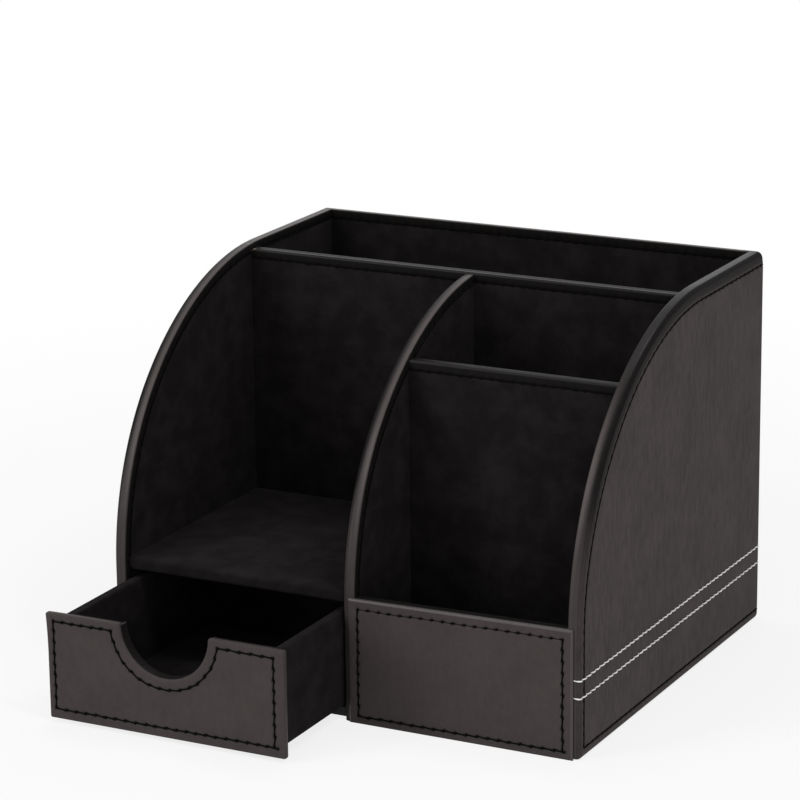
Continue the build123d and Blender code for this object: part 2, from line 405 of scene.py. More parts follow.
def cornerArc(corner, towards, radius, first, last, count=6):
    # a right-angled corner, rounded at the edge and mitred further in than its radius
    def at(angle):
        def point(d):
            reach = max(radius, d)
            return (corner[0] + towards[0] * reach + (reach - d) * math.cos(angle),
                    corner[1] + towards[1] * reach + (reach - d) * math.sin(angle))
        return point
    return [at(math.radians(first + (last - first) * i / count)) for i in range(count + 1)]


def curveRadii(run, height):
    # two arcs that meet at 45 degrees and turn from upright to level
    bend = math.sin(math.radians(45))
    return ((bend * height - (1 - bend) * run) / (2 * bend - 1),
            (bend * run - (1 - bend) * height) / (2 * bend - 1))


def curvedEdge(panelTop, endsAt=None):
    # stations from the start of the curve to where the top runs level
    frontRadius, crownRadius = curveRadii(outline["run"], panelTop - outline["startHeight"])
    lower = arc((front + frontRadius, outline["startHeight"]), frontRadius, 180, 135)
    crown = (front + outline["run"], panelTop - crownRadius)
    upper = arc(crown, crownRadius, 135, 90)
    stations = lower[1:] + upper[1:]
    return [s for s in stations if endsAt is None or s(0)[0] < endsAt]


class Form:
    # points and faces of one piece
    def __init__(self):
        self.points = []
        self.faces = []
        self.kinds = []          # which of the piece's finishes each face takes
        self.paintedLight = []           # how much painted light each point takes

    def face(self, points, kind=0):
        first = len(self.points)
        self.points += points
        self.paintedLight += [0.0] * len(points)
        self.faces.append(list(range(first, first + len(points))))
        self.kinds.append(kind)

    def grid(self, rows, closeRow=False, caps=False, kindAt=None, paintedLightAt=None):
        first = len(self.points)
        width = len(rows[0])
        for r, row in enumerate(rows):
            self.points += row
            self.paintedLight += [paintedLightAt(r, c) if paintedLightAt else 0.0 for c in range(width)]
        for r in range(len(rows) - 1):
            for c in range(width if closeRow else width - 1):
                a = first + r * width + c
                b = first + r * width + (c + 1) % width
                self.faces.append([a, b, b + width, a + width])
                self.kinds.append(kindAt(r, c) if kindAt else 0)
        if caps:
            self.face(rows[0])
            self.face(rows[-1])


def pressSeams(work, seams):
    # needle holes and the furrow that a tight thread draws, worked into the leather
    look = {"reach": 1.3, "least": 0.006}
    tree = kdtree.KDTree(len(work.verts))
    for vertex in work.verts:
        tree.insert(vertex.co, vertex.index)
    tree.balance()
    moves = {}
    for seam in seams:
        press = seam["press"]
        for run in seam["stitches"]:
            first, last = run[0][0] * mm, run[-1][0] * mm
            for point, normal, _ in run:
                for spot, index, off in tree.find_range(point * mm, look["reach"] * mm):
                    hole = min((spot - first).length, (spot - last).length) / mm
                    depth = press["furrow"] * math.exp(-(off / mm / press["furrowWidth"]) ** 2)
                    depth += press["hole"] * math.exp(-(hole / press["holeWidth"]) ** 2)
                    if depth > moves.get(index, (look["least"], None))[0]:
                        moves[index] = (depth, normal)
    work.verts.ensure_lookup_table()
    for index, (depth, normal) in moves.items():
        work.verts[index].co -= normal * depth * mm


def dress(piece, body, finish, nodes):
    # links the piece, gives it its materials, hangs it on its body and hides the nodes that it stands in for
    bpy.context.scene.collection.objects.link(piece)
    names = finish if isinstance(finish, tuple) else (finish,)
    for each in names:
        piece.data.materials.append(finishes[each][0])
    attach(piece, body)
    if nodes:
        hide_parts(*nodes)


def smoothFaces(work, crease):
    for face in work.faces:
        face.smooth = True
    for edge in work.edges:
        edge.smooth = edge.is_manifold and edge.calc_face_angle(0) < math.radians(crease)


def makePiece(form, name, body, finish, nodes=(), seams=(), crease=creaseAngle):
    mesh = bpy.data.meshes.new(name)
    mesh.from_pydata([[part * mm for part in point] for point in form.points], [], form.faces)
    mesh.polygons.foreach_set("material_index", form.kinds)
    if any(form.paintedLight):
        mesh.attributes.new("paintedLight", "FLOAT", "POINT").data.foreach_set("value", form.paintedLight)
    work = bmesh.new()
    work.from_mesh(mesh)
    bmesh.ops.remove_doubles(work, verts=work.verts, dist=0.002 * mm)
    bmesh.ops.recalc_face_normals(work, faces=work.faces)
    work.verts.index_update()
    if seams:
        pressSeams(work, seams)
    smoothFaces(work, crease)
    loose = sum(not edge.is_manifold for edge in work.edges)
    work.to_mesh(mesh)
    work.free()
    dress(bpy.data.objects.new(name, mesh), body, finish, nodes)
    print("piece", name, len(mesh.polygons), "faces", f"({loose} open edges)" if loose else "")


blackStitch = {"pitch": 3.77, "radius": 0.28, "endSize": 1.75, "rise": 0.10, "sink": 0.14,
               "slant": 0.22, "sides": 6, "rings": 10, "twist": 0.0, "turns": 0.0}
faceStitch = {**blackStitch, "radius": 0.25, "endSize": 2.0, "rise": 0.03, "slant": 0.34}
dotStitch = {**blackStitch, "radius": 0.09, "endSize": 4.9, "rise": 0.0, "sink": 0.16}
whiteStitch = {"pitch": 3.4, "radius": 0.235, "endSize": 0.72, "rise": 0.19, "sink": 0.16,
               "slant": 0.32, "sides": 10, "rings": 12, "twist": 0.14, "turns": 1.6}
groovePress = {"hole": 0.34, "holeWidth": 0.62, "furrow": 0.08, "furrowWidth": 0.42}
facePress = {"hole": 0.42, "holeWidth": 0.58, "furrow": 0.14, "furrowWidth": 0.42}
whitePress = {"hole": 0.24, "holeWidth": 0.55, "furrow": 0.10, "furrowWidth": 0.50}


def seamAlong(course, stitch, press, wander=0.06, seed=1):
    # a course of (point, normal) cut into stitches of one pitch, each a run of places on it
    dice = random.Random(seed)
    points = [Vector(point) for point, _ in course]
    normals = [Vector(normal) for _, normal in course]
    lengths = [0.0]
    for before, after in zip(points, points[1:]):
        lengths.append(lengths[-1] + (after - before).length)

    def spot(at, aside):
        k = min(max(bisect.bisect_right(lengths, at) - 1, 0), len(points) - 2)
        span = lengths[k + 1] - lengths[k]
        share = (at - lengths[k]) / span if span else 0
        normal = normals[k].lerp(normals[k + 1], share).normalized()
        across = (points[k + 1] - points[k]).normalized().cross(normal)
        return points[k].lerp(points[k + 1], share) + across * aside, normal, across

    count = max(1, round(lengths[-1] / stitch["pitch"]))
    marks = []
    for i in range(count + 1):
        shift = dice.uniform(-2, 2) * wander if 0 < i < count else 0
        marks.append((lengths[-1] * i / count + shift, dice.uniform(-1, 1) * wander))
    stitches = []
    for (start, aside), (end, nextAside) in zip(marks, marks[1:]):
        stitches.append([spot(start + (end - start) * share, aside + (nextAside - aside) * share)
                         for share in steps(0, 1, 1 / stitch["rings"])])
    return {"stitches": stitches, "press": press, "stitch": stitch}


def straightSeam(start, end, normal, stitch=faceStitch, press=facePress, seed=1):
    points = [Vector(start).lerp(Vector(end), share) for share in steps(0, 1, 0.1)]
    return seamAlong([(point, normal) for point in points], stitch, press, 0.10, seed)


def addThread(form, run, stitch, turn):
    # thick where it goes through the leather, thinner and drawn tight in between
    rows = []
    last = len(run) - 1
    for i, (point, normal, across) in enumerate(run):
        share = i / last
        swell = math.sin(math.pi * share) ** 0.5 if 0 < i < last else 0.0
        height = -stitch["sink"] + (stitch["sink"] + stitch["rise"]) * swell
        centre = point + normal * height + across * stitch["slant"] * (share - 0.5)
        size = stitch["radius"] * (stitch["endSize"] + (1 - stitch["endSize"]) * swell ** 1.4)
        row = []
        for k in range(stitch["sides"]):
            angle = 2 * math.pi * k / stitch["sides"]
            lay = 2 * (angle - turn - math.pi * share * stitch["turns"])
            ply = 1 + stitch["twist"] * math.cos(lay)
            row.append(tuple(centre + (across * math.cos(angle) + normal * math.sin(angle))
                             * size * ply))
        rows.append(row)
    form.grid(rows, closeRow=True, caps=True)


def makeThreads(name, body, finish, seams, seed=3):
    dice = random.Random(seed)
    form = Form()
    for seam in seams:
        for run in seam["stitches"]:
            addThread(form, run, seam["stitch"], dice.uniform(0, math.pi))
    makePiece(form, name, body, finish, crease=80)


def bulgePoint(share, thick, bulge):
    # from the outer face, share 0, well rounded to the flat crown and a crisp inner corner, share 1
    crown, corner = fold["crownShare"] * thick, fold["cornerRadius"]
    if share <= 0.5:
        angle = share * math.pi
        return bulge * (1 - math.sin(angle)), crown * (1 - math.cos(angle))
    if share <= 0.75:
        return 0.0, crown + (thick - corner - crown) * (share - 0.5) * 4
    angle = (share - 0.75) * 2 * math.pi
    return corner * (1 - math.cos(angle)), thick - corner + corner * math.sin(angle)


def bulgeShare(depth, thick):
    crown = fold["crownShare"] * thick
    if depth < crown:
        return math.acos(1 - depth / crown) / math.pi
    return 0.5 + 0.25 * (depth - crown) / (thick - fold["cornerRadius"] - crown)


def seamLip(reach, way, rim):
    # a sheet's edge dips into the seam; way is -1 for the fold itself, 1 for the field beside it
    seam = fold["seamDepth"]
    return [(reach, seam), (reach + way * 0.15, seam * 0.55), (reach + way * 0.4, rim),
            (reach + way * fold["seamWidth"], 0.0)]


def coverLip():
    return seamLip(fold["reach"], 1, 0.05)


def foldedEdge(thick, reach=fold["reach"], innerReach=None, lining=0.6, cover=0.7, bulge=0.0):
    # section of the fold as (distance in from the edge, depth below the first face)
    inner = innerReach or reach
    roll = fold["roll"]
    quarter = [math.pi / 2 * i / 6 for i in range(7)]
    points = seamLip(reach, -1, 0.06) + [(reach - fold["ridgeWidth"], 0.0)]
    if bulge:
        points += [bulgePoint(i / 16, thick, bulge) for i in range(17)]
    else:
        points += [(roll - roll * math.sin(a), roll - roll * math.cos(a)) for a in quarter]
        gap = thick - 2 * roll
        points += [(fold["dip"] * 0.75, roll + gap * 0.25), (fold["dip"], thick / 2),
                   (fold["dip"] * 0.75, thick - roll - gap * 0.25)]
        points += [(roll - roll * math.cos(a), thick - roll + roll * math.sin(a))
                   for a in quarter]
    points += [(d, thick - depth) for d, depth in reversed(seamLip(inner, -1, 0.06))]
    points += [(inner, thick - lining), (fold["edgeLeather"], thick - lining),
               (fold["edgeLeather"], cover), (reach, cover)]
    return points


coverColumns = 5         # columns of that section on the outer face,
shadedBandColumns = 11         # up to the crown's own leather on a curved panel, past an outer band whose darker finish is painted shade
returnColumn = 19        # and up to the fold's inner face


def lined(row, column):
    # both faces of a straight wall's fold are dull
    return int(column < coverColumns or column >= returnColumn)


def bandShaded(row, column):
    # and on a curved panel so is the outer rounding, whose darker colour is painted shade
    return int(column < shadedBandColumns or column >= returnColumn)


def barEdging(wall, seed):
    # the fold over the top of a straight wall
    box = blockOf(f"{wall}_edging")
    section = foldedEdge(box.y1 - box.y0, innerReach=fold["reach"], cover=0.6)
    form = Form()
    rows = [[(x, box.y0 + depth, box.z1 - d) for d, depth in section]
            for x in steps(box.x0, box.x1, fold["step"])]
    form.grid(rows, closeRow=True, caps=True, kindAt=lined)
    z = box.z1 - fold["reach"] + 0.05
    seams = [straightSeam((box.x0 + 0.5, box.y0 + 0.2, z), (box.x1 - 0.5, box.y0 + 0.2, z),
                          (0, -1, 0), press=groovePress, seed=seed),
             straightSeam((box.x0 + 0.5, box.y1 - 0.2, z), (box.x1 - 0.5, box.y1 - 0.2, z),
                          (0, 1, 0), press=groovePress, seed=seed + 1)]
    makePiece(form, f"{wall}_folded_edging", "cabinet", ("edging", "return"), [f"{wall}_edging"],
              seams)
    return seams


straight = back - outline["backRadius"]      # where the cover starts to turn onto the back
turnLength = outline["backRadius"] * math.pi / 2
buttX = half - 6.0                           # the back's leather starts here
bandLow, bandHigh = 19.2, 27.9               # finely meshed strip for the white stitches
whiteHeights = (26.5, 20.6)
quarterTurn = [straight + turnLength * i / 6 for i in range(7)]
backWidth = half - outline["backRadius"] - buttX
backStrip = steps(straight + turnLength, straight + turnLength + backWidth, fold["step"])
turnColumns = quarterTurn + backStrip[1:]


def soften(point):
    # rounds the rear edge at top and bottom, as seen from the side
    x, y, z = point
    reach, drop = outline["footRound" if z < top / 2 else "rearRound"]
    level = drop if z < top / 2 else top - drop
    way = -1 if z < top / 2 else 1
    a, b = (y - back + reach) / reach, (z - level) * way / drop
    if a > 0 and b > 0:
        power = outline["rearPower"]
        share = max(a, b) / (a ** power + b ** power) ** (1 / power)
        y = back - reach + reach * a * share
        z = level + way * drop * b * share
    return (x, y, z)


def coverPoint(sign, u, z, depth):
    return soften(wrapPoint(sign, u, z, depth))


def wrapPoint(sign, u, z, depth):
    # u runs back along the side, round the corner and along the back
    slack = 0.001
    if u > straight + slack and z < fold["reach"] + 0.5:
        depth = min(depth, skin)
    bend = max(outline["backRadius"], depth)
    if u <= straight + slack:
        return (sign * (half - depth), min(u, back - bend), z)
    if u < straight + turnLength - slack:
        angle = (u - straight) / outline["backRadius"]
        return (sign * (half - bend + (bend - depth) * math.cos(angle)),
                back - bend + (bend - depth) * math.sin(angle), z)
    along = u - straight - turnLength
    return (sign * min(half - bend, half - outline["backRadius"] - along), back - depth, z)


def rise(height, low, high):
    # 0 at the low height, 1 at the high one, smooth in between
    share = min(1.0, max(0.0, (height - low) / (high - low)))
    return share * share * (3 - 2 * share)


def paintedEdgeLight(station, column, fade=0.0):
    # painted light: a highlight beside the seam and along the crown, and a lighter foot
    if column >= returnColumn + 2:
        return 0.0
    height = station(0)[1]
    aboveFoot = rise(height, *fold["lightPainted"])
    atFoot = fold["footLight"][int(column >= shadedBandColumns)] * (1 - aboveFoot)
    away = abs(column - fold["crownColumn"])
    crown = fold["crownHighlight"] * max(0.0, 1 - away / fold["crownSpread"])
    crown *= (1 - fade * rise(height, *fold["crownFades"])) * (0.5 + 0.5 * aboveFoot)
    seam = fold["seamHighlight"]
    return max(atFoot, crown, seam[column] if column < len(seam) else 0.0)


def sidePoint(sign, station, d, depth):
    if depth < sideThick / 2:
        flat = fold["reach"] - fold["ridgeWidth"] - fold["bulge"]
        wider = fold["topReach"] * rise(station(0)[1], *fold["widens"])
        d += wider * min(1.0, max(0.0, (d - fold["bulge"]) / flat))
    u, z = station(d)
    return coverPoint(sign, max(u, front + d), max(z, d), depth)


def frontHeights():
    low = steps(outline["footRadius"], bandLow, fold["step"])
    band = steps(bandLow, bandHigh, 0.4)
    high = steps(bandHigh, outline["startHeight"], fold["step"])
    return low, band, high


def sideStations():
    # the free edge: back bottom, bottom, foot, front, curve, top, back top
    foot = outline["footRadius"]
    low, band, high = frontHeights()
    stations = [lambda d, u=u: (u, d) for u in reversed(turnColumns)]
    stations += line((straight, 0), (front + foot, 0), (0, 1))[1:]
    stations += cornerArc((front, 0), (1, 1), foot, 270, 180)[1:]
    stations += [lambda d, z=z: (front + d, z) for z in low[1:] + band[1:] + high[1:]]
    bandStart = len(stations) - len(high[1:]) - len(band[1:]) - 1
    stations += curvedEdge(top)
    stations += line((front + outline["run"], top), (straight, top), (0, -1))[1:]
    stations += [lambda d, u=u: (u, top - d) for u in turnColumns[1:]]
    return stations, bandStart, bandStart + len(band) - 1


stations, bandStart, bandEnd = sideStations()
flatStart = len(turnColumns) - 1             # first and last station on the flat of the side
flatEnd = len(stations) - len(turnColumns)
footStation = flatStart + len(line((straight, 0), (front + outline["footRadius"], 0), (0, 1))) + 2


def sideEdging(sign):
    section = foldedEdge(sideThick, innerReach=fold["reach"] - 0.12, bulge=fold["bulge"])
    rollEnd = shadedBandColumns + 2

    def kindAt(row, column):
        # the strip along the bottom is turned up from the field's own leather
        if row < footStation and column < rollEnd:
            return 2
        return bandShaded(row, column)
    form = Form()
    form.grid([[sidePoint(sign, s, d, depth) for d, depth in section] for s in stations],
              closeRow=True, caps=True, kindAt=kindAt,
              paintedLightAt=lambda row, column: paintedEdgeLight(stations[row], column, fade=max(0.0, sign)))
    return form


def sideLeather(sign):
    flush = fold["reach"] + fold["seamWidth"]
    lip = coverLip() + [(flush + 0.5, 0.0), (flush + 1.1, 0.0)]
    inside = lip[-1][0]
    ring = [[sidePoint(sign, s, d, depth) for d, depth in lip] for s in stations]
    form = Form()
    # the field's lip into the seam takes the lighter finish, a painted highlight
    form.grid(ring, kindAt=lambda row, column: int(column == 1))
    columns = steps(front + inside, straight, 0.45)[1:]
    band = []
    for k in range(bandStart, bandEnd + 1):
        z = stations[k](0)[1]
        band.append([ring[k][-1]] + [coverPoint(sign, u, z, 0) for u in columns + turnColumns[1:]])
    form.grid(band)
    rim = [row[-1] for row in ring]
    form.face(rim[flatStart:bandStart + 1] + band[0][1:len(columns) + 1])
    form.face(rim[bandEnd:flatEnd + 1] + band[-1][len(columns):0:-1])
    corner = len(columns)
    form.grid([rim[flatStart::-1], band[0][corner:]])
    form.grid([rim[flatEnd:], band[-1][corner:]])
    under = [sidePoint(sign, s, fold["reach"], skin) for s in stations]
    form.grid([[row[0] for row in ring], under])
    form.face(under[flatStart:flatEnd + 1])
    form.grid([under[flatStart::-1], under[flatEnd:]])
    end = ring[0] + [row[-1] for row in band] + ring[-1][::-1] + [under[-1], under[0]]
    form.face(end)
    return form


def coverCourse(sign, d, level):
    # a seam's line at one distance from the edge, with the way out of the leather
    course = []
    for station in stations:
        point = Vector(sidePoint(sign, station, d, level))
        outward = point - Vector(sidePoint(sign, station, d, level + 0.3))
        if not course or (point - course[-1][0]).length > 0.05:
            course.append((point, outward.normalized()))
    return course


def innerCourse(sign, d):
    # the same on the inner face, where neither the floor nor the back covers it
    course = []
    for station in stations[flatStart:flatEnd]:
        u, z = station(d)
        if u < back - sideThick - 1 and z > 6 and u > front + d - 0.01:
            course.append((Vector((sign * (half - sideThick + 0.2), u, z)),
                           Vector((-sign, 0, 0))))
    return course


def whiteCourse(z, starts):
    # round the object at one height, from one side's front edge to the other's
    bulge = fold["bulge"]

    def halfCourse(sign, start):
        points = []
        for share in steps(bulgeShare(start, sideThick), 0, 0.04):
            d, depth = bulgePoint(share, sideThick, bulge)
            points.append(coverPoint(sign, front + d, z, depth))
        points += [coverPoint(sign, u, z, 0) for u in steps(front + bulge, straight, 0.5)[1:]]
        points += [coverPoint(sign, u, z, 0) for u in turnColumns[1:]]
        return points
    points = halfCourse(1, starts[0]) + [(x, back, z) for x in steps(buttX, -buttX, 0.5)[1:-1]]
    points += halfCourse(-1, starts[1])[::-1]
    course = []
    for i, point in enumerate(points):
        before, after = points[max(i - 1, 0)], points[min(i + 1, len(points) - 1)]
        tangent = Vector(after) - Vector(before)
        course.append((Vector(point), Vector((tangent.y, -tangent.x, 0)).normalized()))
    return course


seamInset = fold["reach"] - 0.03
seamLevel = 0.26         # how deep the outer seams lie in their groove
# how far in from the side's face the white stitches start, on the right and on the left, where
# they stop on the outer corner, because the closed drawer covers that edge
whiteStarts = (half - blockOf("front_panel_leather").x1 + 0.05, 0.42)
whiteSeams = [seamAlong(whiteCourse(z, whiteStarts), whiteStitch, whitePress, 0.05, seed=40 + i)
              for i, z in enumerate(whiteHeights)]
cabinetSeams = []
for sign, hand in ((1, "right"), (-1, "left")):
    outer = seamAlong(coverCourse(sign, seamInset, seamLevel), blackStitch, groovePress,
                      seed=5 + sign)
    inner = seamAlong(innerCourse(sign, seamInset - 0.1), blackStitch, groovePress, seed=8 + sign)
    cabinetSeams += [outer, inner]
    makePiece(sideEdging(sign), f"{hand}_side_folded_edging", "cabinet",
              ("edging", "return", "brushed"), [f"{hand}_side_edging"], [outer, inner, *whiteSeams])
    makePiece(sideLeather(sign), f"{hand}_side_cover", "cabinet", ("brushed", "rim"),
              [f"{hand}_side_leather"], [outer, *whiteSeams])
print("sides made")


def makeBack():
    reach, wide = fold["reach"], fold["topReach"]
    heights = coverLip() + [(z, 0.0) for z in steps(bandLow, bandHigh, 0.4)]
    heights += [(top - d - wide, depth) for d, depth in reversed(coverLip())]
    heights += [(top - reach - wide, skin), (reach, skin)]
    across = steps(buttX, -buttX, fold["step"])
    seams = [straightSeam((buttX, back - 0.22, z), (-buttX, back - 0.22, z), (0, 1, 0),
                          press=groovePress, seed=20 + i)
             for i, z in enumerate((seamInset, top - seamInset - wide))]
    form = Form()
    form.grid([[soften((x, back - depth, z)) for z, depth in heights] for x in across],
              closeRow=True, caps=True)
    makePiece(form, "back_cover", "cabinet", "brushed", ["back_leather"], seams + whiteSeams)
    form = Form()
    section = foldedEdge(sideThick, reach=reach + wide, innerReach=reach, bulge=fold["bulge"])
    form.grid([[soften((x, back - depth, top - d)) for d, depth in section] for x in across],
              closeRow=True, caps=True, kindAt=bandShaded,
              paintedLightAt=lambda row, column: paintedEdgeLight(stations[-1], column))
    z = top - seamInset + 0.1
    inner = straightSeam((half - sideThick - 0.5, back - sideThick + 0.2, z),
                         (sideThick + 0.5 - half, back - sideThick + 0.2, z), (0, -1, 0),
                         press=groovePress, seed=24)
    makePiece(form, "back_folded_edging", "cabinet", ("edging", "return"), ["back_edging"],
              seams + [inner])
    form = Form()
    section = foldedEdge(sideThick, bulge=fold["bulge"])
    form.grid([[soften((x, back - min(depth, skin), d)) for d, depth in section]
               for x in across], closeRow=True, caps=True)
    makePiece(form, "back_lower_edging", "cabinet", "brushed", [], seams)
    return seams + [inner]


cabinetSeams += makeBack()
print("back made")


def makeDivider():
    box = blockOf("divider_edging")
    slotFront = blockOf("slot_wall_edging").y0
    section = foldedEdge(box.x1 - box.x0, cover=0.6, bulge=fold["bulge"])
    panel = [lambda d, z=z: (front + d, z) for z in steps(0, outline["startHeight"], fold["step"])]
    panel += curvedEdge(box.z1, slotFront + fold["step"])
    form = Form()
    form.grid([[(box.x0 + depth, min(s(d)[0], slotFront), s(d)[1]) for d, depth in section]
               for s in panel], closeRow=True, caps=True, kindAt=bandShaded,
              paintedLightAt=lambda row, column: paintedEdgeLight(panel[row], max(column, coverColumns + 1)))
    seams = []
    for x, way in ((box.x0 + 0.2, -1), (box.x1 - 0.2, 1)):
        course = [(Vector((x, *s(seamInset))), Vector((way, 0, 0))) for s in panel
                  if s(seamInset)[0] < slotFront - 0.5 and s(seamInset)[1] > 5]
        seams.append(seamAlong(course, blackStitch, groovePress, seed=30 + way))
    makePiece(form, "divider_folded_edging", "cabinet", ("edging", "return"), ["divider_edging"],
              seams)
    return seams


cabinetSeams += makeDivider()
for wall, seed in (("slot_wall", 50), ("phone_rest", 54)):
    cabinetSeams += barEdging(wall, seed)
print("walls made")


def makeFrontPanel():
    # low front of the right-hand pocket; cut by hand, it stands a little higher at the right
    panel = {"sideInset": 3.5, "bottomInset": 2.6, "roll": 0.95, "foldDepth": 3.2, "corner": 0.7,
             "step": 0.45, "overrun": 0.9, "leftDrop": 0.5, "rightRise": 0.55, "sill": 0.16}
    box = blockOf("front_panel_leather")
    board = blockOf("front_panel_board")
    sheet = front - box.y0                   # thickness of the leather
    deep = box.y1 - box.y0
    roll, corner = panel["roll"], panel["corner"]
    quarter = [math.pi / 2 * i / 7 for i in range(8)]
    foot = box.z0
    section = [(sheet, foot), (0.3, foot), (0.1, foot + 0.08), (0.0, foot + 0.3)]
    section += [(0.0, z) for z in steps(foot + 0.5, box.z1 - roll, panel["step"])]
    section += [(roll - roll * math.cos(a), box.z1 - roll + roll * math.sin(a))
                for a in quarter[1:]]
    section += [(roll + 0.3, box.z1 - 0.03), (roll + 0.7, box.z1 - panel["sill"]),
                (deep - roll - 0.6, box.z1 - panel["sill"])]
    section += [(deep - roll + roll * math.sin(a), box.z1 - roll + roll * math.cos(a))
                for a in quarter]
    low = box.z1 - panel["foldDepth"]
    section += [(deep, low + 0.5), (deep - 0.1, low + 0.1), (deep - 0.35, low),
                (deep - 0.6, low), (deep - 0.6, board.z1), (sheet, board.z1)]

    def lean(x, z):
        share = (x - box.x0) / (box.x1 - box.x0)
        shift = panel["rightRise"] * share - panel["leftDrop"] * (1 - share)
        return z + shift * (z - foot) / (box.z1 - foot)

    def point(x, depth, z):
        near = min(x - box.x0, box.x1 - x)
        if near < corner:
            depth = max(depth, corner - math.sqrt(corner ** 2 - (corner - near) ** 2))
        if x < board.x0 - 0.001 or x > board.x1 + 0.001:
            depth = min(depth, sheet)
        return (x, box.y0 + depth, lean(x, z))
    edge = [0.0, 0.07, 0.2, 0.42]
    across = [box.x0 + e for e in edge] + steps(box.x0 + corner, board.x0 - 0.02, panel["step"])
    across += steps(board.x0, board.x1, panel["step"])
    across += steps(board.x1 + 0.02, box.x1 - corner, panel["step"])
    across += [box.x1 - e for e in reversed(edge)]
    form = Form()
    crest = next(i for i, (_, z) in enumerate(section) if z > box.z1 - roll - 0.2)

    def rolled(row, column):
        if column >= crest + 7:
            return 2
        return int(column >= crest or min(row, len(across) - 2 - row) < len(edge))
    form.grid([[point(x, depth, z) for depth, z in section] for x in across],
              closeRow=True, caps=True, kindAt=rolled)
    left, right = box.x0 + panel["sideInset"], box.x1 - panel["sideInset"]
    high, lowSeam = box.z1 - panel["sideInset"], foot + panel["bottomInset"]

    def seamLine(start, end, seed, stitch=faceStitch):
        places = [(x, box.y0 + 0.03, lean(x, z)) for x, z in (start, end)]
        return straightSeam(*places, (0, -1, 0), stitch, seed=seed)
    seams = [seamLine((left, high), (right, high), 60, dotStitch),
             seamLine((left, lowSeam), (left, high), 61),
             seamLine((right, lowSeam), (right, high), 62),
             seamLine((left, lowSeam), (right + panel["overrun"], lowSeam), 63)]
    makePiece(form, "front_panel_cover", "cabinet", ("leather", "rolled", "return"),
              ["front_panel_leather"], seams)
    return seams


cabinetSeams += makeFrontPanel()
makeThreads("cabinet_black_stitching", "cabinet", "blackThread", cabinetSeams)
makeThreads("white_double_stitching", "cabinet", "whiteThread", whiteSeams)
print("front panel and cabinet stitching made")


